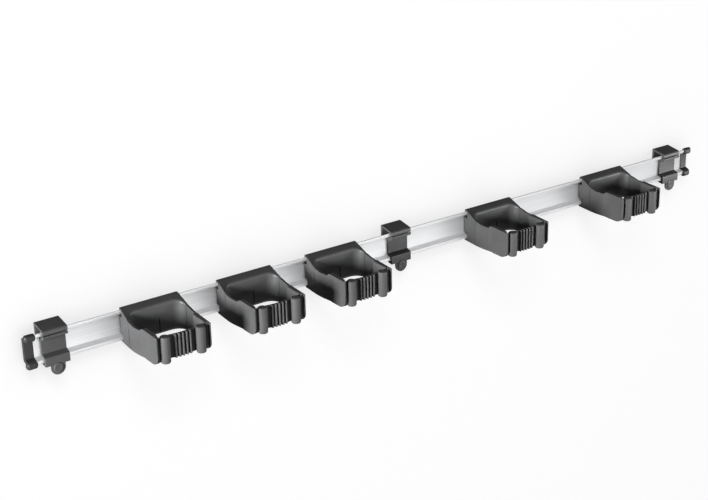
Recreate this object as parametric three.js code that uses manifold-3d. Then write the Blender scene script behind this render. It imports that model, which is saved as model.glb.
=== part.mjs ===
// Wall rack for long-handled tools: an aluminium rail on three clip brackets, with five push-in holders
// that slide along it. X runs along the rail, the wall is the plane Y = 0 with -Y away from it, and Z is
// up. The origin is on the wall behind the middle bracket, at the rail's mid-height. Lengths are in mm.
import * as THREE from 'three';
import { mergeVertices } from 'three/addons/utils/BufferGeometryUtils.js';
import Module from 'manifold-3d';

const wasm = await Module();
wasm.setup();

// Clearance, and the small roundings that the mouldings and the rail share
const fit = 0.3;
const keenEdge = 0.3;
const fineEdge = 0.5;
const softEdge = 0.8;
const fullEdge = 1;

// Rail: a top-hat section, with a web near the wall and a lip standing up or down at each edge
const railLength = 930.2;
const railShift = 4.4;
const railHeight = 34.2;
const railWall = 1.8;
const webFront = 11;
const hatDepth = 6.5;
const lipHeight = 4.2;
const flangeRise = 2.1;

// End caps
const capGrip = 7.5;
const capWall = 0.9;
const capEnd = 2.2;
const capRound = 0.8;

// Wall brackets
const bracketWidth = 27.2;
const leftOverhang = 28.8;
const rightOverhang = 34.4;
const plateWall = 2.6;
const plateFoot = 1.5;
const hookTop = 2.8;
const hookRise = 2.4;
const hookFront = 3.8;
const hookFall = 0.8;
const hookBend = 5;
const hookInnerBend = 1.6;
const hookLipEdge = 1.9;
const plateBend = 1.6;
const leafWall = 2.8;
const leafRib = 3.2;
const leafRibEdge = 1.8;
const knuckleRadius = 1.5;
const knuckleDrop = 1;
const footThickness = 2.1;
const footTip = 1.2;
const footReach = 4.8;
const footGap = 1.2;
const tabWidth = 15.8;
const tabLength = 11.3;
const tabWall = 1.9;
const screwHole = 4.5;
const screwHead = 8.6;
const screwSpacing = 13;
const screwDrop = 11.5;

// Places of the holders, as shares of the bay between two brackets
const leftBayHolders = [0.253, 0.52, 0.7826];
const rightBayHolders = [0.3068, 0.7263];

// Holder carriage
const carriageRearWidth = 67.2;
const hookWall = 1.4;
const hookTurn = 2.4;
const hookCrown = 2;
const hookGrip = 2;
const barbGrip = 1;
const blockReach = 5.8;
const blockTop = 8.5;
const blockBottom = -9.6;
const backWall = 6.5;
const cavityChamfer = 4.2;
const rimRound = 2.6;
const wellSideShare = 0.35;
const slitPlace = 6;
const slitWidth = 1.2;
const slitDepth = 1.6;
const slitTop = -2;

// Holder arms
const hingeDepth = 35;
const hingeWidth = 70.4;
const armWall = 2.6;
const armTop = 8.6;
const armRise = 2;
const armFall = 11;
const armCrown = 3;
const armSweep = 6;
const armHeel = 4;
const armBottom = -20.3;
const armBulge = 0.6;
const stepDepth = 57;
const stepWidth = 67.6;
const shoulderLength = 5;
const shoulderInset = 1.8;
const blockThicker = 4.4;
const tipDepth = 88.5;
const tipWidth = 62.8;
const tipWall = 4.3;
const blockRise = 2.3;
const blockDrop = 1.2;
const blockFall = 0.4;
const tipCorner = 11;

// Posts and membrane
const postRadius = 5.2;
const postSpacing = 41.2;
const postSetback = 2.9;
const postTop = 9.4;
const postBottom = -20.6;
const postRound = 1.8;
const tongueNeck = 2;
const tongueEnd = 3.6;
const tongueGrip = 2.3;
const tongueSetback = 1.6;
const membraneTop = 8.4;
const membraneBottom = -18;
const membraneWall = 1.8;
const membraneSetback = 3.4;
const membraneSag = 1.4;
const ribCount = 5;
const ribPitch = 4.3;
const ribRadius = 1;
const ribHeight = 2.4;

// Levels worked out from the driving dimensions
const railTop = railHeight / 2;
const lipFront = webFront + hatDepth;
const lipBack = lipFront - railWall;
const lipRoot = railTop - lipHeight;
const webTop = lipRoot - flangeRise;
const railLeft = railShift - railLength / 2;
const railRight = railShift + railLength / 2;
const bracketX = [railLeft + leftOverhang, 0, railRight - rightOverhang];
const holderX = [
  ...leftBayHolders.map((share) => bracketX[0] * (1 - share)),
  ...rightBayHolders.map((share) => bracketX[2] * share),
];

// Materials
const aluminium = new THREE.MeshStandardMaterial({ color: 0xd3d5d7, roughness: 0.38, metalness: 0.9 });
const plastic = new THREE.MeshStandardMaterial({ color: 0x2a2b2d, roughness: 0.5, metalness: 0 });
const rubber = new THREE.MeshStandardMaterial({ color: 0x303133, roughness: 0.62, metalness: 0 });

// Outline helpers. A corner is [distance, height, radius], and its radius is limited by its sides.
const ARC_STEP = Math.PI / 10;

function roundedOutline(corners) {
  const outline = [];
  corners.forEach(([x, y, radius = 0], i) => {
    const corner = new THREE.Vector2(x, y);
    const [ax, ay] = corners[(i + corners.length - 1) % corners.length];
    const [bx, by] = corners[(i + 1) % corners.length];
    const before = new THREE.Vector2(ax - x, ay - y);
    const after = new THREE.Vector2(bx - x, by - y);
    const cosine = before.dot(after) / before.length() / after.length();
    const turn = Math.acos(THREE.MathUtils.clamp(cosine, -1, 1));
    const room = 0.49 * Math.min(before.length(), after.length());
    const tangent = Math.min(radius / Math.tan(turn / 2), room);
    if (tangent < 0.02) {
      outline.push(corner);
      return;
    }
    const arcRadius = tangent * Math.tan(turn / 2);
    const start = corner.clone().addScaledVector(before.normalize(), tangent);
    const end = corner.clone().addScaledVector(after.normalize(), tangent);
    const middle = before.add(after).normalize();
    const centre = corner.clone().addScaledVector(middle, Math.hypot(arcRadius, tangent));
    const from = start.clone().sub(centre).angle();
    let sweep = end.clone().sub(centre).angle() - from;
    sweep = THREE.MathUtils.euclideanModulo(sweep + Math.PI, 2 * Math.PI) - Math.PI;
    const steps = Math.max(1, Math.ceil(Math.abs(sweep) / ARC_STEP));
    for (let k = 0; k <= steps; k += 1) {
      const angle = from + (sweep * k) / steps;
      outline.push(new THREE.Vector2(Math.cos(angle), Math.sin(angle)).multiplyScalar(arcRadius).add(centre));
    }
  });
  return outline;
}

function grownOutline(corners, distance) {
  const points = corners.map(([x, y]) => new THREE.Vector2(x, y));
  const side = THREE.ShapeUtils.isClockWise(points) ? -1 : 1;
  return points.map((point, i) => {
    const before = points[(i + points.length - 1) % points.length];
    const after = points[(i + 1) % points.length];
    const along = point.clone().sub(before).normalize();
    const onward = after.clone().sub(point).normalize();
    const normalIn = new THREE.Vector2(along.y, -along.x).multiplyScalar(side);
    const normalOut = new THREE.Vector2(onward.y, -onward.x).multiplyScalar(side);
    const mitre = normalIn.clone().add(normalOut).divideScalar(1 + normalIn.dot(normalOut));
    return [point.x + mitre.x * distance, point.y + mitre.y * distance, corners[i][2] ?? 0];
  });
}

// A section drawn as [distance from the wall, height], drawn out along the rail
const SECTION_TO_RAIL = new THREE.Matrix4().makeBasis(
  new THREE.Vector3(0, 1, 0),
  new THREE.Vector3(0, 0, 1),
  new THREE.Vector3(1, 0, 0),
);

function alongRail(corners, from, to) {
  const outward = corners.map(([depth, height, radius]) => [-depth, height, radius]);
  const shape = new THREE.Shape(roundedOutline(outward));
  const geometry = new THREE.ExtrudeGeometry(shape, { depth: to - from, bevelEnabled: false });
  return geometry.applyMatrix4(SECTION_TO_RAIL).translate(from, 0, 0);
}

// A plan drawn in X and Y, drawn up between two heights
function upright(points, bottom, top) {
  const shape = new THREE.Shape(points);
  const geometry = new THREE.ExtrudeGeometry(shape, { depth: top - bottom, bevelEnabled: false });
  return geometry.translate(0, 0, bottom);
}

// Solids for the cuts and joins
function solid(geometry) {
  const bare = geometry.clone();
  bare.deleteAttribute('normal');
  bare.deleteAttribute('uv');
  const merged = mergeVertices(bare, 1e-4);
  return new wasm.Manifold(new wasm.Mesh({
    numProp: 3,
    vertProperties: new Float32Array(merged.attributes.position.array),
    triVerts: new Uint32Array(merged.index.array),
  }));
}

function geometryOf(manifold) {
  const mesh = manifold.getMesh();
  const geometry = new THREE.BufferGeometry();
  geometry.setAttribute('position', new THREE.BufferAttribute(mesh.vertProperties, 3));
  geometry.setIndex(new THREE.BufferAttribute(mesh.triVerts, 1));
  geometry.computeVertexNormals();
  return geometry;
}

// The same shape on the other side of the holder's middle plane
function mirrored(geometry) {
  const other = geometry.clone().scale(-1, 1, 1);
  const corners = other.index.array;
  for (let i = 0; i < corners.length; i += 3) {
    const first = corners[i];
    corners[i] = corners[i + 1];
    corners[i + 1] = first;
  }
  other.computeVertexNormals();
  return other;
}

function piece(name, geometry, material) {
  const mesh = new THREE.Mesh(geometry, material);
  mesh.name = name;
  return mesh;
}

// The rail's section, clockwise from the top of its upper lip
function railSection() {
  const slope = flangeRise / hatDepth;
  const flangeWall = railWall * Math.hypot(1, slope);
  const lipInner = lipRoot - railWall * slope + flangeWall;
  const webInner = webTop - railWall * slope + flangeWall;
  const webBack = webFront - railWall;
  const tip = railWall / 2;
  const upper = [
    [webBack, webInner, fullEdge],
    [lipBack, lipInner, fineEdge],
    [lipBack, railTop, tip],
    [lipFront, railTop, tip],
    [lipFront, lipRoot, fullEdge],
    [webFront, webTop, fineEdge],
  ];
  const lower = upper.map(([depth, height, radius]) => [depth, -height, radius]).reverse();
  return [...upper, ...lower];
}

function endCap(side) {
  const end = side < 0 ? railLeft : railRight;
  const inner = end - side * capGrip;
  const outer = end + side * (fit + capEnd);
  const grown = grownOutline(railSection(), fit + capWall);
  const shell = grown.map(([depth, height, radius]) => [depth, height, radius + capRound]);
  const pocket = grownOutline(railSection(), fit);
  const body = solid(alongRail(shell, Math.min(inner, outer), Math.max(inner, outer)));
  const cutFrom = Math.min(inner - side, end + side * fit);
  const cutTo = Math.max(inner - side, end + side * fit);
  return geometryOf(body.subtract(solid(alongRail(pocket, cutFrom, cutTo))));
}

// Bracket: the leaf turns on a knuckle under the hook's front lip
const leafPivot = {
  depth: lipFront + fit + hookFront - knuckleRadius,
  height: lipRoot - knuckleDrop,
};
const leafFootTop = -railTop - fit - footGap;
const leafFootBottom = leafFootTop - footThickness;
const plateBottom = -railTop - plateFoot;

function screwCutter(x) {
  const over = 1;
  const spread = (screwHead - screwHole) / 2;
  const profile = [
    [0, -over],
    [screwHole / 2, -over],
    [screwHole / 2, plateWall - spread],
    [screwHead / 2 + over, plateWall + over],
    [0, plateWall + over],
  ].map(([radius, depth]) => new THREE.Vector2(radius, depth));
  const cutter = new THREE.LatheGeometry(profile, 20);
  return solid(cutter.rotateX(Math.PI).translate(x, 0, -screwDrop));
}

function bracketHook() {
  const innerTop = railTop + fit;
  const outerTop = innerTop + hookTop;
  const lipRear = lipFront + fit;
  const lipOuter = lipRear + hookFront;
  const lipEnd = leafPivot.height + knuckleRadius + fit;
  const section = [
    [0, plateBottom, fineEdge],
    [0, outerTop + hookRise, softEdge],
    [lipOuter, outerTop - hookFall, hookBend],
    [lipOuter, lipEnd, hookLipEdge],
    [lipRear, lipEnd, keenEdge],
    [lipRear, innerTop, hookInnerBend],
    [plateWall, innerTop + hookRise, plateBend],
    [plateWall, plateBottom, fineEdge],
  ];
  const body = solid(alongRail(section, -bracketWidth / 2, bracketWidth / 2));
  const holes = screwCutter(-screwSpacing / 2).add(screwCutter(screwSpacing / 2));
  return geometryOf(body.subtract(holes));
}

function thumbTab(front) {
  const half = tabWidth / 2;
  const straight = tabLength - half;
  const overlap = footThickness;
  const shape = new THREE.Shape();
  shape.moveTo(-half, leafFootBottom + overlap);
  shape.lineTo(-half, leafFootBottom - straight);
  shape.absarc(0, leafFootBottom - straight, half, Math.PI, 2 * Math.PI, false);
  shape.lineTo(half, leafFootBottom + overlap);
  const options = { depth: tabWall, bevelEnabled: false, curveSegments: 16 };
  const geometry = new THREE.ExtrudeGeometry(shape, options);
  return solid(geometry.rotateX(Math.PI / 2).translate(0, tabWall - front, 0));
}

function bracketLeaf() {
  const slope = flangeRise / hatDepth;
  const panelBack = webFront + fit;
  const panelFront = panelBack + leafWall;
  const ribBack = lipFront + fit;
  const ribFront = ribBack + leafRib;
  const nose = leafPivot.depth + knuckleRadius;
  const ledgeGap = 2 * fit;
  const ledgeBack = webTop - ledgeGap;
  const ledgeFront = ledgeBack + slope * hatDepth;
  const ledgeWall = leafWall * Math.hypot(1, slope);
  const shelf = -webTop + fit;
  const section = [
    [leafPivot.depth, leafPivot.height + knuckleRadius, 0],
    [nose, leafPivot.height + knuckleRadius, knuckleRadius],
    [nose, leafPivot.height - knuckleRadius, knuckleRadius],
    [panelFront, ledgeBack - ledgeWall, softEdge],
    [panelFront, shelf + ledgeWall - slope * leafWall, fullEdge],
    [ribFront, -lipRoot + fit + ledgeWall - slope * leafRib, leafRibEdge],
    [ribFront, leafFootBottom, fineEdge],
    [ribBack - footReach, leafFootTop - footTip, keenEdge],
    [ribBack - footReach, leafFootTop, keenEdge],
    [ribBack, leafFootTop, keenEdge],
    [ribBack, -lipRoot + fit - slope * fit, fineEdge],
    [panelBack, shelf - slope * fit, fineEdge],
    [panelBack, ledgeBack, fineEdge],
    [ribBack, ledgeFront, keenEdge],
  ];
  const body = solid(alongRail(section, -bracketWidth / 2, bracketWidth / 2));
  return geometryOf(body.add(thumbTab(ribFront)));
}

// Holder: each piece is where its plan and its side profile meet
const carriageRear = lipBack - fit - hookTurn;
const cavityBack = lipFront + fit + backWall;
const cavityCorner = hingeDepth - cavityBack;
const slopeTop = railTop + fit + hookWall;
const hinge = new THREE.Vector2(hingeWidth / 2 - armWall / 2, -hingeDepth);
const post = new THREE.Vector2(postSpacing / 2, postSetback - tipDepth);
const HOLDER_SPAN = 200;

function carriageProfile() {
  const hookUnder = railTop + fit;
  const lipFace = lipFront + fit;
  const blockBack = lipFace - blockReach;
  return [
    [carriageRear, railTop - hookGrip, keenEdge],
    [carriageRear, slopeTop, softEdge],
    [lipBack, slopeTop, hookCrown],
    [hingeDepth, armTop + armRise, armCrown],
    [hingeDepth + armWall, armTop + armRise, 0],
    [hingeDepth + armWall, armBottom, 0],
    [carriageRear, armBottom, softEdge],
    [carriageRear, -railTop + barbGrip, keenEdge],
    [lipBack - fit, -railTop + barbGrip, keenEdge],
    [lipBack - fit, -hookUnder, keenEdge],
    [lipFace, -hookUnder, keenEdge],
    [lipFace, blockBottom, keenEdge],
    [blockBack, blockBottom, softEdge],
    [blockBack, blockTop, softEdge],
    [lipFace, blockTop, keenEdge],
    [lipFace, hookUnder, keenEdge],
    [lipBack - fit, hookUnder, keenEdge],
    [lipBack - fit, railTop - hookGrip, keenEdge],
  ];
}

// The well between the arms: upright walls that roll over at the rim and splay out at the floor
function wellRing(grow, heightAt) {
  const side = hingeWidth / 2 - armWall - cavityCorner;
  const front = -hingeDepth - armWall;
  const corner = [];
  const steps = 6;
  for (let k = 0; k <= steps; k += 1) {
    const angle = (Math.PI / 2) * (k / steps);
    const share = wellSideShare + (1 - wellSideShare) * Math.sin(angle);
    const radius = cavityCorner + grow * share;
    corner.push([side + radius * Math.cos(angle), radius * Math.sin(angle) - hingeDepth]);
  }
  const half = [[corner[0][0], front], ...corner];
  const otherHalf = half.map(([x, y]) => [-x, y]).reverse();
  return [...half, ...otherHalf].map(([x, y]) => new THREE.Vector3(x, y, heightAt(-y)));
}

function well() {
  const fall = (slopeTop - armTop - armRise) / (hingeDepth - lipBack);
  const surface = (depth) => slopeTop - fall * (depth - lipBack);
  const rings = [
    wellRing(cavityChamfer + cavityChamfer, () => armBottom - cavityChamfer),
    wellRing(0, () => armBottom + cavityChamfer),
  ];
  const steps = 5;
  for (let k = 0; k <= steps; k += 1) {
    const angle = (Math.PI / 2) * (k / steps);
    const drop = rimRound * (1 - Math.sin(angle));
    rings.push(wellRing(rimRound * (1 - Math.cos(angle)), (depth) => surface(depth) - drop));
  }
  rings.push(wellRing(rimRound, () => HOLDER_SPAN));
  const count = rings[0].length;
  const index = [];
  for (let r = 0; r + 1 < rings.length; r += 1) {
    for (let i = 0; i < count; i += 1) {
      const low = r * count + i;
      const lowNext = r * count + ((i + 1) % count);
      index.push(low, lowNext, lowNext + count, low, lowNext + count, low + count);
    }
  }
  const last = (rings.length - 1) * count;
  for (let i = 1; i + 1 < count; i += 1) {
    index.push(0, i + 1, i, last, last + i, last + i + 1);
  }
  const geometry = new THREE.BufferGeometry().setFromPoints(rings.flat());
  geometry.setIndex(index);
  return solid(geometry);
}

function carriage() {
  const plan = roundedOutline([
    [-carriageRearWidth / 2, -carriageRear, 0],
    [-hingeWidth / 2, -hingeDepth, 0],
    [hingeWidth / 2, -hingeDepth, 0],
    [carriageRearWidth / 2, -carriageRear, 0],
  ]);
  const block = solid(upright(plan, -HOLDER_SPAN, HOLDER_SPAN));
  const profile = solid(alongRail(carriageProfile(), -HOLDER_SPAN, HOLDER_SPAN));
  const socketRadius = armWall / 2 + fit;
  const sockets = [-1, 1].map((side) => {
    const cylinder = new THREE.CylinderGeometry(socketRadius, socketRadius, HOLDER_SPAN, 24);
    return solid(cylinder.rotateX(Math.PI / 2).translate(side * hinge.x, hinge.y, 0));
  });
  const slit = new THREE.BoxGeometry(slitWidth, 2 * slitDepth, HOLDER_SPAN);
  slit.translate(slitPlace, -cavityBack, slitTop - HOLDER_SPAN / 2);
  const hollow = block.intersect(profile).subtract(well());
  return geometryOf(hollow.subtract(sockets[0]).subtract(sockets[1]).subtract(solid(slit)));
}

// The dovetail that holds a post in its arm, grown by a clearance for the groove
function dovetail(clearance) {
  const root = tipWidth / 2 - tipWall;
  const far = root + tongueGrip + clearance;
  const near = post.x;
  const middle = post.y + tongueSetback;
  const wide = tongueEnd / 2 + clearance;
  const narrow = tongueNeck / 2 + clearance;
  return [
    [near, middle - narrow],
    [root, middle - narrow],
    [far, middle - wide],
    [far, middle + wide],
    [root, middle + narrow],
    [near, middle + narrow],
  ].map(([x, y]) => new THREE.Vector2(x, y));
}

function armProfile() {
  const blockTopHeight = armTop + blockRise;
  const tipBottom = armBottom - blockDrop;
  const rear = hingeDepth - armWall;
  return [
    [rear, armTop + armRise, 0],
    [hingeDepth, armTop + armRise, armCrown],
    [hingeDepth + armFall, armTop, armSweep],
    [stepDepth, armTop, keenEdge],
    [stepDepth + blockRise, blockTopHeight, fullEdge],
    [tipDepth + fit, blockTopHeight - blockFall, fullEdge],
    [tipDepth + fit, tipBottom, tipCorner],
    [stepDepth + shoulderLength + 2 * blockDrop, tipBottom, armHeel],
    [stepDepth, armBottom, armHeel],
    [rear, armBottom, 0],
  ];
}

function armPlan() {
  const outer = hingeWidth / 2;
  const inner = outer - armWall;
  const stepOuter = stepWidth / 2;
  const tipOuter = tipWidth / 2;
  const middle = (hingeDepth + stepDepth) / 2;
  const bulgeOut = (outer + stepOuter) / 2 + 2 * armBulge;
  const stepInner = stepOuter - armWall;
  const shape = new THREE.Shape();
  shape.moveTo(outer, -hingeDepth);
  shape.quadraticCurveTo(bulgeOut, -middle, stepOuter, -stepDepth);
  shape.lineTo(stepOuter - shoulderInset, -stepDepth - shoulderLength);
  shape.lineTo(tipOuter, -tipDepth);
  shape.lineTo(tipOuter - tipWall, -tipDepth);
  shape.lineTo(stepInner - blockThicker, -stepDepth - blockThicker / 2);
  shape.lineTo(stepInner, -stepDepth);
  shape.quadraticCurveTo(bulgeOut - armWall, -middle, inner, -hingeDepth);
  shape.absarc(hinge.x, hinge.y, armWall / 2, Math.PI, 0, true);
  return shape.getPoints(8);
}

function rightArm() {
  const plan = solid(upright(armPlan(), -HOLDER_SPAN, HOLDER_SPAN));
  const profile = solid(alongRail(armProfile(), -HOLDER_SPAN, HOLDER_SPAN));
  const groove = solid(upright(dovetail(fit), -HOLDER_SPAN, HOLDER_SPAN));
  return geometryOf(plan.intersect(profile).subtract(groove));
}

function rightPost() {
  const body = [
    [0, postBottom],
    [postRadius - postRound, postBottom],
    [postRadius - 0.3 * postRound, postBottom + 0.3 * postRound],
    [postRadius, postBottom + postRound],
    [postRadius, postTop - postRound / 2],
    [postRadius - postRound / 2, postTop],
    [0, postTop],
  ].map(([radius, height]) => new THREE.Vector2(radius, height));
  const column = new THREE.LatheGeometry(body, 20).rotateX(Math.PI / 2).translate(post.x, post.y, 0);
  const tongue = upright(dovetail(0), postBottom + postRound, postTop - postRound);
  return geometryOf(solid(column).add(solid(tongue)));
}

function membrane() {
  const halfWidth = post.x - postRadius - fit;
  const span = (ribCount - 1) * ribPitch;
  const curve = (x) => membraneSetback - tipDepth + membraneSag * (x / halfWidth) ** 2;
  const front = [new THREE.Vector2(-halfWidth, curve(-halfWidth))];
  for (let i = 0; i < ribCount; i += 1) {
    const middle = i * ribPitch - span / 2;
    const crest = curve(middle) - ribHeight + ribRadius;
    const steps = 6;
    front.push(new THREE.Vector2(middle - ribRadius, curve(middle - ribRadius)));
    for (let k = 0; k <= steps; k += 1) {
      const angle = Math.PI * (1 - k / steps);
      const x = middle + ribRadius * Math.cos(angle);
      front.push(new THREE.Vector2(x, crest - ribRadius * Math.sin(angle)));
    }
    front.push(new THREE.Vector2(middle + ribRadius, curve(middle + ribRadius)));
  }
  front.push(new THREE.Vector2(halfWidth, curve(halfWidth)));
  const back = [1, 0.5, 0, -0.5, -1].map((share) => {
    const x = share * halfWidth;
    return new THREE.Vector2(x, curve(x) + membraneWall);
  });
  return upright([...front, ...back], membraneBottom, membraneTop);
}

function holder(number, x) {
  const name = (part) => `holder_${number}_${part}`;
  const group = new THREE.Group();
  const arm = rightArm();
  const column = rightPost();
  group.add(piece(name('carriage'), carriage(), plastic));
  group.add(piece(name('left_arm'), mirrored(arm), plastic));
  group.add(piece(name('right_arm'), arm, plastic));
  group.add(piece(name('left_post'), mirrored(column), rubber));
  group.add(piece(name('right_post'), column, rubber));
  group.add(piece(name('membrane'), membrane(), rubber));
  group.position.x = x;
  return group;
}

function bracket(name, x) {
  const group = new THREE.Group();
  group.add(piece(`${name}_bracket_hook`, bracketHook(), plastic));
  group.add(piece(`${name}_bracket_leaf`, bracketLeaf(), plastic));
  group.position.x = x;
  return group;
}

// The rack
const rack = new THREE.Group();
rack.add(piece('rail', alongRail(railSection(), railLeft, railRight), aluminium));
rack.add(piece('left_end_cap', endCap(-1), plastic));
rack.add(piece('right_end_cap', endCap(1), plastic));
['left', 'middle', 'right'].forEach((name, i) => rack.add(bracket(name, bracketX[i])));
holderX.forEach((x, i) => rack.add(holder(i + 1, x)));

export default rack;
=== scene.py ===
"""Looks of the clamp rack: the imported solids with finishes, softened edges and elastic membranes."""
import math

import bmesh
import bpy
from mathutils import Matrix, Vector


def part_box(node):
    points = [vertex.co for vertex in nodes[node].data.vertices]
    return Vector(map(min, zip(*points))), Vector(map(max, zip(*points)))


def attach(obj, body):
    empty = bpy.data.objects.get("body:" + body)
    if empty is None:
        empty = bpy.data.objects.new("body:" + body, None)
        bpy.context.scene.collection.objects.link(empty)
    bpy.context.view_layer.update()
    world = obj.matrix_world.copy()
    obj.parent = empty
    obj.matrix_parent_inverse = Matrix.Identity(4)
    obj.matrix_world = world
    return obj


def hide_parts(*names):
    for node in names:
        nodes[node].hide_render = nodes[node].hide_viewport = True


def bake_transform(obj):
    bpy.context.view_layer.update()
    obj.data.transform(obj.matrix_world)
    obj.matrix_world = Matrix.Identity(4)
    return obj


MM = 0.001

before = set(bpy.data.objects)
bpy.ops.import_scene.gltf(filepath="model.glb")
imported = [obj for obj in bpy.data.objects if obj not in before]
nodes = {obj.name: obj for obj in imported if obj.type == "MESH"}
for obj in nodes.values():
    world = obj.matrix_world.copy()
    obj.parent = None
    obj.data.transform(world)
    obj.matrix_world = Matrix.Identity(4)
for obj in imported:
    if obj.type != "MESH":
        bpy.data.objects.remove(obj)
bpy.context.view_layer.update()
HOLDER_COUNT = 5
HOLDERS = [f"holder_{i + 1}" for i in range(HOLDER_COUNT)]
BRACKETS = ["left", "middle", "right"]
SIDES = {"left": -1, "right": 1}
WHITE = (1, 1, 1)

# Camera of the photograph
CAMERA_PLACE = Vector((-978.666, -1358.984, 680.323)) * MM
CAMERA_RIGHT = Vector((0.820476, -0.571211, -0.023176))
CAMERA_UP = Vector((0.235788, 0.301194, 0.923951))
CAMERA_BACK = Vector((-0.520791, -0.763544, 0.381807))
FOCAL_PIXELS = 1553.45
PICTURE_WIDTH = 708
SENSOR_WIDTH = 36
CLIP_NEAR, CLIP_FAR = 0.01, 100


def make_camera():
    data = bpy.data.cameras.new("photo_camera")
    data.sensor_width = SENSOR_WIDTH
    data.lens = FOCAL_PIXELS / PICTURE_WIDTH * SENSOR_WIDTH
    data.clip_start = CLIP_NEAR
    data.clip_end = CLIP_FAR
    camera = bpy.data.objects.new("photo_camera", data)
    bpy.context.scene.collection.objects.link(camera)
    turn = Matrix((CAMERA_RIGHT, CAMERA_UP, CAMERA_BACK)).transposed()
    camera.matrix_world = Matrix.Translation(CAMERA_PLACE) @ turn.to_4x4()
    bpy.context.scene.camera = camera


# Shader node helpers
def new_material(name):
    material = bpy.data.materials.new(name)
    material.use_nodes = True
    tree = material.node_tree
    shader = tree.nodes["Principled BSDF"]
    return material, tree, shader


def add(tree, kind, **values):
    node = tree.nodes.new(kind)
    for key, value in values.items():
        setattr(node, key, value)
    return node


def place(tree, scale):
    """The object's own coordinates in metres, stretched by a scale along each axis."""
    coordinates = add(tree, "ShaderNodeTexCoord")
    mapping = add(tree, "ShaderNodeMapping")
    mapping.inputs["Scale"].default_value = scale
    tree.links.new(coordinates.outputs["Object"], mapping.inputs["Vector"])
    return mapping.outputs["Vector"]


def noise(tree, vector, scale, detail=3.0, roughness=0.55):
    node = add(tree, "ShaderNodeTexNoise")
    node.inputs["Scale"].default_value = scale
    node.inputs["Detail"].default_value = detail
    node.inputs["Roughness"].default_value = roughness
    tree.links.new(vector, node.inputs["Vector"])
    return node.outputs["Fac"]


def spread(tree, value, low, high, start=0.3, stop=0.7):
    """Maps a value's range from start to stop on to low to high."""
    node = add(tree, "ShaderNodeMapRange")
    node.inputs["From Min"].default_value = start
    node.inputs["From Max"].default_value = stop
    node.inputs["To Min"].default_value = low
    node.inputs["To Max"].default_value = high
    tree.links.new(value, node.inputs["Value"])
    return node.outputs["Result"]


def combine(tree, operation, first, second):
    """One value worked out from two by the named operation."""
    node = add(tree, "ShaderNodeMath", operation=operation)
    tree.links.new(first, node.inputs[0])
    tree.links.new(second, node.inputs[1])
    return node.outputs["Value"]


def tint(tree, value, dark, light):
    """A colour between two, by a value from 0 to 1."""
    node = add(tree, "ShaderNodeMix", data_type="RGBA")
    node.inputs["A"].default_value = (*dark, 1)
    node.inputs["B"].default_value = (*light, 1)
    tree.links.new(value, node.inputs["Factor"])
    return node.outputs["Result"]


def overlay(tree, factor, under, colour, blend="MIX"):
    """Lays a plain colour over another one, as much as the factor says."""
    node = add(tree, "ShaderNodeMix", data_type="RGBA", blend_type=blend)
    node.inputs["B"].default_value = (*colour, 1)
    tree.links.new(factor, node.inputs["Factor"])
    tree.links.new(under, node.inputs["A"])
    return node.outputs["Result"]


def bump(tree, height, distance, strength):
    node = add(tree, "ShaderNodeBump")
    node.inputs["Distance"].default_value = distance
    node.inputs["Strength"].default_value = strength
    tree.links.new(height, node.inputs["Height"])
    return node.outputs["Normal"]


# Finishes of the mouldings
EDGE_RADIUS = 0.7 * MM
EDGE_SAMPLES = 6
EDGE_START, EDGE_STOP = 0.75, 0.94
# Paler edges in patches: part wear, part painted highlight on the rounded edges.
WEAR_AND_HIGHLIGHT_SCALE = 260
WEAR_AND_HIGHLIGHT_LEAST, WEAR_AND_HIGHLIGHT_MOST = 0.05, 0.5
CLOUD_SCALE = 38
CLOUD_SHARE = 0.7
STREAK_STRETCH = (650, 650, 9)
STREAK_SHARE = 0.3
# Painted shade: faces that look up are darkened by this factor.
TOP_PAINTED_SHADE = (0.52, 0.52, 0.52)
TOP_START, TOP_STOP = 0.35, 0.85
SHEEN_SCALE = 120
SHEEN_BELOW, SHEEN_ABOVE = 0.05, 0.06
GRAIN_DEPTH = 0.05 * MM
GRAIN_STRENGTH = 0.35
PLASTIC_SPECULAR = 0.16
PLASTIC_ROUGHNESS = 0.42
PLASTIC_GRAIN = 2600
RUBBER_ROUGHNESS = 0.50
RUBBER_GRAIN = 1900


def edge_mask(tree):
    """1 on the edges of the moulding and 0 on its flats."""
    rounded = add(tree, "ShaderNodeBevel", samples=EDGE_SAMPLES)
    rounded.inputs["Radius"].default_value = EDGE_RADIUS
    flat = add(tree, "ShaderNodeNewGeometry")
    dot = add(tree, "ShaderNodeVectorMath", operation="DOT_PRODUCT")
    tree.links.new(rounded.outputs["Normal"], dot.inputs[0])
    tree.links.new(flat.outputs["Normal"], dot.inputs[1])
    return spread(tree, dot.outputs["Value"], 1.0, 0.0, EDGE_START, EDGE_STOP)


def painted_shade_mask(tree):
    """Where painted shade falls: 1 on the faces that look up, fading to 0 on the steep ones."""
    coordinates = add(tree, "ShaderNodeTexCoord")
    parts = add(tree, "ShaderNodeSeparateXYZ")
    tree.links.new(coordinates.outputs["Normal"], parts.inputs["Vector"])
    return spread(tree, parts.outputs["Z"], 0, 1, TOP_START, TOP_STOP)


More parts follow.
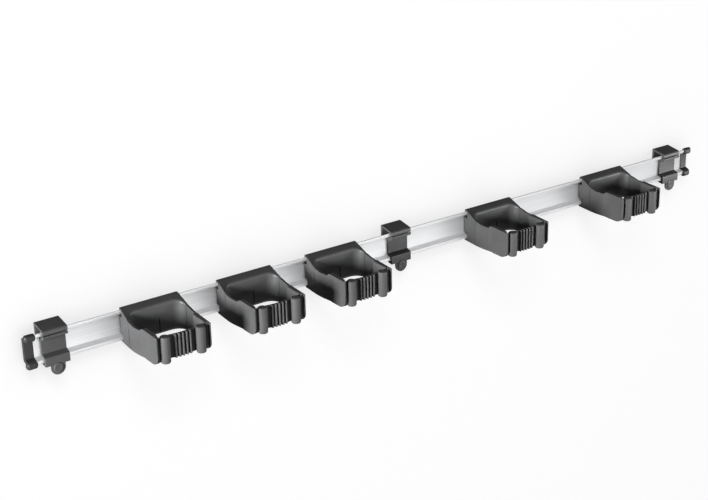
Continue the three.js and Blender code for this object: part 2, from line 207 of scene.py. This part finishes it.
def moulded(name, dark, light, worn_and_highlight, roughness, grain):
    """Satin black moulding: fine grain, slow tone changes, paler edges from wear and painted highlight,
    and painted shade on top.
    """
    material, tree, shader = new_material(name)
    at = place(tree, (1, 1, 1))
    cloud = spread(tree, noise(tree, at, CLOUD_SCALE, detail=4), 0, CLOUD_SHARE)
    streaks = spread(tree, noise(tree, place(tree, STREAK_STRETCH), 1), 0, STREAK_SHARE)
    body = tint(tree, combine(tree, "ADD", cloud, streaks), dark, light)
    # Paler edges: wear in patches, and painted highlight on the rounded edges.
    wear_and_highlight_patches = spread(tree, noise(tree, at, WEAR_AND_HIGHLIGHT_SCALE), WEAR_AND_HIGHLIGHT_LEAST, WEAR_AND_HIGHLIGHT_MOST)
    wear_and_highlight_mask = combine(tree, "MULTIPLY", edge_mask(tree), wear_and_highlight_patches)
    edged = overlay(tree, wear_and_highlight_mask, body, worn_and_highlight)
    # Painted shade on the faces that look up.
    colour = overlay(tree, painted_shade_mask(tree), edged, TOP_PAINTED_SHADE, "MULTIPLY")
    tree.links.new(colour, shader.inputs["Base Color"])
    patches = noise(tree, at, SHEEN_SCALE)
    sheen = spread(tree, patches, roughness - SHEEN_BELOW, roughness + SHEEN_ABOVE)
    tree.links.new(sheen, shader.inputs["Roughness"])
    fine = noise(tree, at, grain, detail=2, roughness=0.5)
    tree.links.new(bump(tree, fine, GRAIN_DEPTH, GRAIN_STRENGTH), shader.inputs["Normal"])
    shader.inputs["Specular IOR Level"].default_value = PLASTIC_SPECULAR
    return material


# Finish of the rail
LINE_STRETCH = (1.2, 900, 900)
LINE_SCALE = 1.6
LINE_DARK, LINE_LIGHT = (0.74, 0.745, 0.755), (0.88, 0.883, 0.89)
LINE_DEPTH = 0.02 * MM
LINE_STRENGTH = 0.25
VEIL_STRETCH = (4, 30, 30)
VEIL_DARK = (0.955, 0.955, 0.96)
RAIL_SMOOTHEST, RAIL_ROUGHEST = 0.42, 0.54
RAIL_METALLIC = 0.4


def anodised(name):
    """Satin anodised aluminium with the fine lengthwise lines that extrusion leaves."""
    material, tree, shader = new_material(name)
    lines = noise(tree, place(tree, LINE_STRETCH), LINE_SCALE, detail=4, roughness=0.6)
    cloud = noise(tree, place(tree, VEIL_STRETCH), 1)
    tone = tint(tree, spread(tree, lines, 0, 1), LINE_DARK, LINE_LIGHT)
    veil = tint(tree, spread(tree, cloud, 0, 1), VEIL_DARK, WHITE)
    shade = add(tree, "ShaderNodeMix", data_type="RGBA", blend_type="MULTIPLY")
    shade.inputs["Factor"].default_value = 1
    tree.links.new(tone, shade.inputs["A"])
    tree.links.new(veil, shade.inputs["B"])
    tree.links.new(shade.outputs["Result"], shader.inputs["Base Color"])
    rough = spread(tree, lines, RAIL_SMOOTHEST, RAIL_ROUGHEST)
    tree.links.new(rough, shader.inputs["Roughness"])
    tree.links.new(bump(tree, lines, LINE_DEPTH, LINE_STRENGTH), shader.inputs["Normal"])
    shader.inputs["Metallic"].default_value = RAIL_METALLIC
    return material


aluminium = anodised("anodised_aluminium")
# Painted shade: the end caps and beads get a darker copy of the black plastic.
cap_plastic_with_painted_shade = moulded(
    "cap_plastic_with_painted_shade",
    dark=(0.013, 0.0131, 0.0134),
    light=(0.019, 0.0191, 0.0194),
    worn_and_highlight=(0.07, 0.071, 0.073),
    roughness=PLASTIC_ROUGHNESS,
    grain=PLASTIC_GRAIN,
)
plastic = moulded(
    "black_plastic",
    dark=(0.034, 0.0343, 0.035),
    light=(0.046, 0.0463, 0.047),
    worn_and_highlight=(0.10, 0.101, 0.103),
    roughness=PLASTIC_ROUGHNESS,
    grain=PLASTIC_GRAIN,
)
rubber = moulded(
    "black_rubber",
    dark=(0.036, 0.0363, 0.037),
    light=(0.050, 0.0503, 0.051),
    worn_and_highlight=(0.09, 0.091, 0.093),
    roughness=RUBBER_ROUGHNESS,
    grain=RUBBER_GRAIN,
)


# Smooth curves and softened edges, all by modifiers
SHARP_ANGLE = math.radians(30)
FLAT_ANGLE = math.radians(0.4)
WELD = 0.002 * MM


def smoothing():
    """A modifier group that joins the facets and shades all but the sharp edges smooth."""
    group = bpy.data.node_groups.new("smooth_by_angle", "GeometryNodeTree")
    group.interface.new_socket("Geometry", in_out="INPUT", socket_type="NodeSocketGeometry")
    group.interface.new_socket("Geometry", in_out="OUTPUT", socket_type="NodeSocketGeometry")
    start = add(group, "NodeGroupInput")
    stop = add(group, "NodeGroupOutput")
    weld = add(group, "GeometryNodeMergeByDistance")
    weld.inputs["Distance"].default_value = WELD
    normals = add(group, "GeometryNodeSetMeshNormal", mode="SHARPNESS")
    normals.inputs["Remove Custom"].default_value = True
    angle = add(group, "GeometryNodeInputMeshEdgeAngle")
    above = add(group, "FunctionNodeCompare", data_type="FLOAT", operation="GREATER_THAN")
    above.inputs["B"].default_value = SHARP_ANGLE
    group.links.new(angle.outputs["Unsigned Angle"], above.inputs["A"])
    group.links.new(above.outputs["Result"], normals.inputs["Edge Sharpness"])
    group.links.new(start.outputs["Geometry"], weld.inputs["Geometry"])
    group.links.new(weld.outputs["Geometry"], normals.inputs["Mesh"])
    group.links.new(normals.outputs["Mesh"], stop.inputs["Geometry"])
    return group


smooth_group = smoothing()


def soften(item, edge, segments=2):
    """Shades the curves smooth, joins the flats and rounds the sharp edges as a mould does."""
    shading = item.modifiers.new("smooth", "NODES")
    shading.node_group = smooth_group
    flats = item.modifiers.new("flats", "DECIMATE")
    flats.decimate_type = "DISSOLVE"
    flats.angle_limit = FLAT_ANGLE
    bevel = item.modifiers.new("edge", "BEVEL")
    bevel.width = edge
    bevel.segments = segments
    bevel.limit_method = "ANGLE"
    bevel.angle_limit = SHARP_ANGLE
    bevel.harden_normals = True


def dress(name, material, edge):
    """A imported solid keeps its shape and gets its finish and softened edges."""
    item = nodes[name]
    item.data.materials.clear()
    item.data.materials.append(material)
    soften(item, edge)


# Mesh helpers
def new_piece(name, data, material):
    """A new object in the scene with one material."""
    data.materials.clear()
    data.materials.append(material)
    item = bpy.data.objects.new(name, data)
    bpy.context.scene.collection.objects.link(item)
    return item


def mesh_data(mesh, name):
    """Mesh data made from a working mesh, which is then freed."""
    data = bpy.data.meshes.new(name)
    mesh.to_mesh(data)
    mesh.free()
    return data


def box_mesh(name, low, high):
    mesh = bmesh.new()
    bmesh.ops.create_cube(mesh, size=1)
    for vertex in mesh.verts:
        for axis in range(3):
            vertex.co[axis] = low[axis] if vertex.co[axis] < 0 else high[axis]
    return mesh_data(mesh, name)


def join_rows(mesh, rows):
    """Faces between neighbouring rows of points, each row closed on itself."""
    for below, above in zip(rows, rows[1:]):
        for k in range(len(below)):
            n = (k + 1) % len(below)
            mesh.faces.new((below[k], below[n], above[n], above[k]))


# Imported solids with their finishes
RAIL_EDGE = 0.25 * MM
MOULD_EDGE = 0.45 * MM
RUBBER_EDGE = 0.4 * MM
BRACKET_EDGE = 0.7 * MM
CAP_EDGE = 0.8 * MM

dress("rail", aluminium, RAIL_EDGE)
for side in SIDES:
    dress(f"{side}_end_cap", cap_plastic_with_painted_shade, CAP_EDGE)
for bracket in BRACKETS:
    dress(f"{bracket}_bracket_hook", plastic, BRACKET_EDGE)
    dress(f"{bracket}_bracket_leaf", plastic, BRACKET_EDGE)
for holder in HOLDERS:
    dress(f"{holder}_carriage", plastic, MOULD_EDGE)
    for side in SIDES:
        dress(f"{holder}_{side}_post", rubber, RUBBER_EDGE)


# Beads: the round thickenings that close each end cap around the rail's two lips
BEAD_DEPTH = 7.6 * MM
BEAD_HEIGHT = 8.2 * MM
BEAD_ROUND = 3.4 * MM
BEAD_SEGMENTS = 5
BEAD_OVER = 1.3 * MM
BEAD_UNDER = 1.8 * MM


def bead(cap, end):
    low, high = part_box(cap)
    front = low[1] - BEAD_OVER
    top = high[2] if end == "upper" else low[2] - BEAD_UNDER + BEAD_HEIGHT
    name = f"{cap}_{end}_bead"
    data = box_mesh(
        name,
        (low[0] - BEAD_OVER, front, top - BEAD_HEIGHT),
        (high[0] + BEAD_OVER, front + BEAD_DEPTH, top),
    )
    item = new_piece(name, data, cap_plastic_with_painted_shade)
    soften(item, BEAD_ROUND, BEAD_SEGMENTS)
    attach(item, "rack")


for side in SIDES:
    for end in ("lower", "upper"):
        bead(f"{side}_end_cap", end)


# Tab domes: the shallow raised button on each leaf's thumb tab. Each ring is a share of the radius
# and a share of the rise, from the sunk rim inwards, and the middle is dished.
TAB_RADIUS = 7.9 * MM
DOME_RADIUS = 5.6 * MM
DOME_RISE = 0.9 * MM
DOME_SINK = 0.5 * MM
DOME_RIM = (1.0, -DOME_SINK / DOME_RISE)
DOME_RINGS = [DOME_RIM, (1.0, 0.0), (0.97, 0.45), (0.88, 0.8), (0.7, 1.0), (0.4, 0.72)]
DOME_MIDDLE = 0.6
DOME_STEPS = 40


def tab_dome(bracket):
    leaf = f"{bracket}_bracket_leaf"
    low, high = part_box(leaf)
    centre = (low[0] + high[0]) / 2
    level = low[2] + TAB_RADIUS
    face = min(v.co.y for v in nodes[leaf].data.vertices if v.co.z < level)
    mesh = bmesh.new()
    rows = []
    for share, rise in DOME_RINGS:
        row = []
        for k in range(DOME_STEPS):
            turn = 2 * math.pi * k / DOME_STEPS
            x = centre + DOME_RADIUS * share * math.cos(turn)
            z = level + DOME_RADIUS * share * math.sin(turn)
            row.append(mesh.verts.new((x, face - DOME_RISE * rise, z)))
        rows.append(row)
    join_rows(mesh, rows)
    tip = mesh.verts.new((centre, face - DOME_RISE * DOME_MIDDLE, level))
    for k in range(DOME_STEPS):
        mesh.faces.new((rows[-1][k], rows[-1][(k + 1) % DOME_STEPS], tip))
    mesh.faces.new(rows[0])
    bmesh.ops.recalc_face_normals(mesh, faces=mesh.faces)
    name = f"{leaf}_dome"
    data = mesh_data(mesh, name)
    data.shade_smooth()
    item = new_piece(name, data, plastic)
    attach(item, leaf)


for bracket in BRACKETS:
    tab_dome(bracket)


# Arms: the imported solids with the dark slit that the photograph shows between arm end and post
TIP_BAND = 0.1 * MM
TIP_LIP = 0.9 * MM
SLIT_DEPTH = 2.6 * MM
SLIT_WIDTH = 3.9 * MM


def cut_away(item, knife):
    """Takes the knife's shape out of a piece and removes the knife."""
    cut = item.modifiers.new("slit", "BOOLEAN")
    cut.operation = "DIFFERENCE"
    cut.solver = "EXACT"
    cut.object = knife
    bpy.context.view_layer.update()
    graph = bpy.context.evaluated_depsgraph_get()
    shaped = bpy.data.meshes.new_from_object(item.evaluated_get(graph))
    item.modifiers.clear()
    item.data = shaped
    shaped.name = item.name
    bpy.data.objects.remove(knife)


def slit_arm(holder, side):
    node = f"{holder}_{side}_arm"
    low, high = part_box(node)
    sign = SIDES[side]
    tip = low[1]
    source = nodes[node].data
    outer = max(v.co.x * sign for v in source.vertices if v.co.y < tip + TIP_BAND) * sign
    edge = outer - sign * TIP_LIP
    inner = edge - sign * SLIT_WIDTH
    cutter = box_mesh(
        "slit",
        (min(edge, inner), tip - SLIT_DEPTH, low[2] - SLIT_DEPTH),
        (max(edge, inner), tip + SLIT_DEPTH, high[2] + SLIT_DEPTH),
    )
    knife = new_piece("slit", cutter, plastic)
    joined = bmesh.new()
    joined.from_mesh(source)
    bmesh.ops.remove_doubles(joined, verts=joined.verts, dist=WELD)
    item = new_piece(f"{node}_moulding", mesh_data(joined, node), plastic)
    cut_away(item, knife)
    soften(item, MOULD_EDGE)
    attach(item, node)
    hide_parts(node)


for holder in HOLDERS:
    for side in SIDES:
        slit_arm(holder, side)


# Elastic membranes: each drawn as two halves that meet at the middle rib
RIBS = 5
RIB_PITCH = 4.3 * MM
RIB_RADIUS = 1.0 * MM
RIB_HEIGHT = 2.4 * MM
RIB_ROOT = 0.15 * MM
RIB_STEPS = 10
MEMBRANE_WALL = 1.8 * MM
MEMBRANE_SAG = 1.4 * MM
MEMBRANE_SHARP = math.radians(40)
POST_GRIP = 1.5 * MM
HEIGHT_ROUND = 0.7 * MM
ROUND_SHARES = [(0, 1), (0.3, 0.3), (1, 0)]
HEIGHT_STEPS = 6
PLACE_DIGITS = 7


def membrane_base(x, half, front):
    """Distance out from the wall of the membrane's face between the ribs."""
    return front - MEMBRANE_SAG * (x / half) ** 2


def membrane_front(x, half, front):
    """Distance out from the wall of the membrane's ribbed face."""
    lift = 0
    for i in range(RIBS):
        middle = (i - (RIBS - 1) / 2) * RIB_PITCH
        off = abs(x - middle)
        if off < RIB_RADIUS:
            lift = RIB_HEIGHT - RIB_RADIUS + math.sqrt(RIB_RADIUS**2 - off**2)
    return membrane_base(x, half, front) + lift


def membrane_places(half):
    """Distances from the middle at which one half is drawn: its ends and the curve of each rib."""
    places = {0, half, half + POST_GRIP}
    for i in range((RIBS + 1) // 2):
        middle = i * RIB_PITCH
        curve = [middle + RIB_RADIUS * math.cos(math.pi * k / RIB_STEPS) for k in range(RIB_STEPS + 1)]
        roots = [middle - RIB_RADIUS - RIB_ROOT, middle + RIB_RADIUS + RIB_ROOT]
        places.update(round(x, PLACE_DIGITS) for x in curve + roots if 0 <= x <= half)
    return sorted(places)


def membrane_heights(bottom, top):
    """Heights at which one half is drawn, each with how far its rounded edge draws in."""
    rounding = [(HEIGHT_ROUND * up, HEIGHT_ROUND * pull) for up, pull in ROUND_SHARES]
    heights = [(bottom + up, pull) for up, pull in rounding]
    heights += [(bottom + (top - bottom) * k / HEIGHT_STEPS, 0) for k in range(1, HEIGHT_STEPS)]
    heights += [(top - up, pull) for up, pull in reversed(rounding)]
    return heights


def membrane_half(holder, side):
    low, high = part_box(f"{holder}_membrane")
    sign = SIDES[side]
    centre = (low[0] + high[0]) / 2
    half = (high[0] - low[0]) / 2
    front = -low[1] - RIB_HEIGHT
    places = membrane_places(half)
    mesh = bmesh.new()
    rows = []
    for z, pull in membrane_heights(low[2], high[2]):
        ring = []
        for x in places:
            out = membrane_front(x, half, front) - pull
            ring.append(mesh.verts.new((centre + sign * x, -out, z)))
        for x in reversed(places):
            inner = membrane_base(x, half, front) - MEMBRANE_WALL + pull
            ring.append(mesh.verts.new((centre + sign * x, -inner, z)))
        rows.append(ring)
    join_rows(mesh, rows)
    mesh.faces.new(rows[0])
    mesh.faces.new(rows[-1])
    bmesh.ops.recalc_face_normals(mesh, faces=mesh.faces)
    name = f"{holder}_membrane_{side}"
    data = mesh_data(mesh, name)
    item = new_piece(name, data, rubber)
    data.set_sharp_from_angle(angle=MEMBRANE_SHARP)
    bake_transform(item)
    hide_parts(f"{holder}_membrane")


for holder in HOLDERS:
    for side in SIDES:
        membrane_half(holder, side)


# Stage: a white wall behind the rack and a pale floor well below it, both clear from behind
STAGE_ROUGHNESS = 0.9
STAGE_SPECULAR = 0.1
PAINTED_SHADOW_SAMPLES = 12
PAINTED_SHADOW_START = 0.35


def stage_material(name, colour, glow, reach, mirrored):
    """White to the camera with painted soft shadow near the rack, of which reflections get a mirrored
    share.
    """
    material, tree, shader = new_material(name)
    shader.inputs["Base Color"].default_value = (*colour, 1)
    shader.inputs["Roughness"].default_value = STAGE_ROUGHNESS
    shader.inputs["Specular IOR Level"].default_value = STAGE_SPECULAR
    output = tree.nodes["Material Output"]
    ray = add(tree, "ShaderNodeLightPath")
    dimmed = add(tree, "ShaderNodeMath", operation="MULTIPLY")
    dimmed.inputs[1].default_value = mirrored
    tree.links.new(ray.outputs["Is Glossy Ray"], dimmed.inputs[0])
    seen = combine(tree, "MAXIMUM", ray.outputs["Is Camera Ray"], dimmed.outputs["Value"])
    # Painted shadow: the glow dims where ambient occlusion finds the rack close by.
    near = add(tree, "ShaderNodeAmbientOcclusion", samples=PAINTED_SHADOW_SAMPLES)
    near.inputs["Distance"].default_value = reach
    shade = spread(tree, near.outputs["AO"], glow[0], glow[1], PAINTED_SHADOW_START, 1.0)
    shader.inputs["Emission Color"].default_value = (*WHITE, 1)
    tree.links.new(combine(tree, "MULTIPLY", seen, shade), shader.inputs["Emission Strength"])
    clear = add(tree, "ShaderNodeBsdfTransparent")
    facing = add(tree, "ShaderNodeNewGeometry")
    choose = add(tree, "ShaderNodeMixShader")
    tree.links.new(facing.outputs["Backfacing"], choose.inputs["Fac"])
    tree.links.new(shader.outputs["BSDF"], choose.inputs[1])
    tree.links.new(clear.outputs["BSDF"], choose.inputs[2])
    tree.links.new(choose.outputs["Shader"], output.inputs["Surface"])
    return material


def stage_plane(name, corners, material):
    data = bpy.data.meshes.new(name)
    data.from_pydata(corners, [], [(0, 1, 2, 3)])
    item = new_piece(name, data, material)
    return item


WALL_PLACE = 0.4 * MM
WALL_TOP = 4
FLOOR_LEVEL = -0.75
FLOOR_REACH = 6
STAGE_SIDE = 6
wall = stage_plane(
    "wall",
    [
        (-STAGE_SIDE, WALL_PLACE, FLOOR_LEVEL),
        (STAGE_SIDE, WALL_PLACE, FLOOR_LEVEL),
        (STAGE_SIDE, WALL_PLACE, WALL_TOP),
        (-STAGE_SIDE, WALL_PLACE, WALL_TOP),
    ],
    stage_material("wall_white", (0.30, 0.30, 0.30), glow=(0.70, 0.89), reach=0.09, mirrored=0.15),
)
floor = stage_plane(
    "floor",
    [
        (-STAGE_SIDE, -FLOOR_REACH, FLOOR_LEVEL),
        (STAGE_SIDE, -FLOOR_REACH, FLOOR_LEVEL),
        (STAGE_SIDE, WALL_PLACE, FLOOR_LEVEL),
        (-STAGE_SIDE, WALL_PLACE, FLOOR_LEVEL),
    ],
    stage_material("floor_white", (0.5, 0.5, 0.5), glow=(0.8, 0.92), reach=0.3, mirrored=1.0),
)


# Light: a key from the left and a front lamp at the right light the black pieces. A fill from above
# lights the rail and the stage, a card in front lights the rail, and a weak lamp lights the back.
def area_light(name, place_at, aim, size, power):
    data = bpy.data.lights.new(name, "AREA")
    data.shape = "RECTANGLE"
    data.size, data.size_y = size
    data.energy = power
    lamp = bpy.data.objects.new(name, data)
    bpy.context.scene.collection.objects.link(lamp)
    lamp.location = place_at
    lamp.visible_camera = False
    lamp.rotation_mode = "QUATERNION"
    lamp.rotation_quaternion = (Vector(aim) - Vector(place_at)).to_track_quat("-Z", "Y")
    return lamp


def flags(name, items, state):
    """A group that keeps a lamp off some things, or on them alone, as flags do in a studio."""
    group = bpy.data.collections.new(name)
    for item in items:
        group.objects.link(item)
    for entry in group.collection_objects:
        entry.light_linking.link_state = state
    return group


key = area_light("key", place_at=(-1.95, -0.62, 0.34), aim=(-0.1, -0.06, 0), size=(0.5, 0.5), power=168)
front = area_light("front", place_at=(1.0, -0.9, 0.02), aim=(0.45, -0.03, 0), size=(0.5, 0.5), power=30)
fill = area_light("fill", place_at=(-0.9, -1.7, 1.9), aim=(0, -0.05, 0), size=(1.1, 0.8), power=24)
back = area_light("back", place_at=(0.5, 2.2, -0.1), aim=(0, 0, 0), size=(1.6, 0.8), power=12)
card = area_light("card", place_at=(0.4, -2.4, -0.2), aim=(0, -0.05, 0), size=(2.4, 1.2), power=28)

rail = nodes["rail"]
pale = [rail, wall, floor]
key.light_linking.receiver_collection = flags("key_flags", pale, "EXCLUDE")
front.light_linking.receiver_collection = flags("front_flags", pale, "EXCLUDE")
fill.light_linking.receiver_collection = flags("fill_flags", pale, "INCLUDE")
card.light_linking.receiver_collection = flags("card_flags", [rail], "INCLUDE")
back.light_linking.blocker_collection = flags("back_clear", [wall, floor], "EXCLUDE")


# Surroundings: white to the camera, and darker overhead than at the horizon for the light on the
# rack. Reflections have brighter levels of their own.
AMBIENT_HORIZON, AMBIENT_OVERHEAD = 0.20, 0.10
AMBIENT_START, AMBIENT_STOP = 0.0, 0.8
MIRRORED_HORIZON, MIRRORED_OVERHEAD = 0.90, 0.22
MIRRORED_START, MIRRORED_STOP = 0.05, 0.7


def make_world():
    world = bpy.data.worlds.new("studio")
    bpy.context.scene.world = world
    world.use_nodes = True
    tree = world.node_tree
    background = tree.nodes["Background"]
    coordinates = add(tree, "ShaderNodeTexCoord")
    parts = add(tree, "ShaderNodeSeparateXYZ")
    tree.links.new(coordinates.outputs["Generated"], parts.inputs["Vector"])
    up = parts.outputs["Z"]
    level = spread(tree, up, AMBIENT_HORIZON, AMBIENT_OVERHEAD, AMBIENT_START, AMBIENT_STOP)
    mirrored = spread(tree, up, MIRRORED_HORIZON, MIRRORED_OVERHEAD, MIRRORED_START, MIRRORED_STOP)
    ray = add(tree, "ShaderNodeLightPath")
    glossy = add(tree, "ShaderNodeMix", data_type="FLOAT")
    tree.links.new(ray.outputs["Is Glossy Ray"], glossy.inputs["Factor"])
    tree.links.new(level, glossy.inputs["A"])
    tree.links.new(mirrored, glossy.inputs["B"])
    seen = add(tree, "ShaderNodeMix", data_type="FLOAT")
    tree.links.new(ray.outputs["Is Camera Ray"], seen.inputs["Factor"])
    tree.links.new(glossy.outputs["Result"], seen.inputs["A"])
    seen.inputs["B"].default_value = 1
    tree.links.new(seen.outputs["Result"], background.inputs["Strength"])
    background.inputs["Color"].default_value = (*WHITE, 1)


make_camera()
make_world()
bpy.context.scene.view_settings.view_transform = "Standard"
